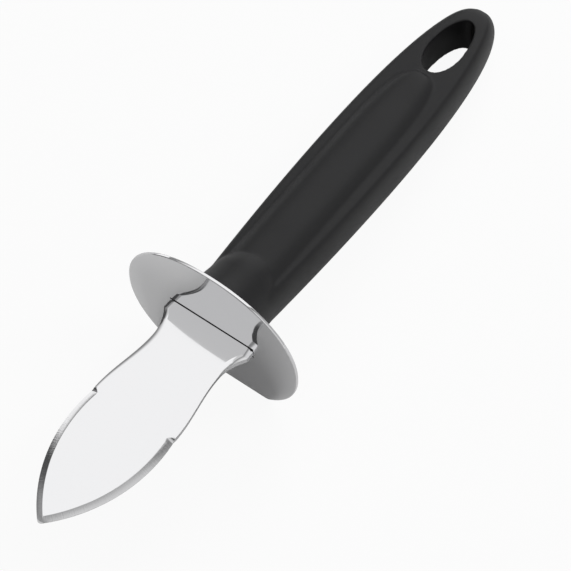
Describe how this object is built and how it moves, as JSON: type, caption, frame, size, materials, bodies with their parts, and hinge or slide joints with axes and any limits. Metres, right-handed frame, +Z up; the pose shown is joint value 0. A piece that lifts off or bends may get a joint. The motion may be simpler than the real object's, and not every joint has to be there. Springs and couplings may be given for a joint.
{
  "type": "oyster knife",
  "caption": "Oyster knife with a short spear-shaped steel blade, an oval steel hand guard with one straight edge and a moulded black handle with a hanging hole.",
  "frame": {"origin": "middle of the guard's straight lower edge, on which the knife rests, at mid-thickness of the guard", "axes": "+X along the knife towards the tip of the blade, +Z up, square to the flat of the blade, and +Y across the knife"},
  "size_m": [0.1897, 0.053, 0.0411],
  "materials": {
    "blade_steel": "bright polished stainless steel, ground across the cutting edges",
    "guard_steel": "bright polished stainless steel sheet",
    "handle_plastic": "matte black moulded plastic with a fine grain"
  },
  "bodies": {
    "root": {"blade": "blade_steel", "guard": "guard_steel", "handle": "handle_plastic"}
  },
  "joints": []
}
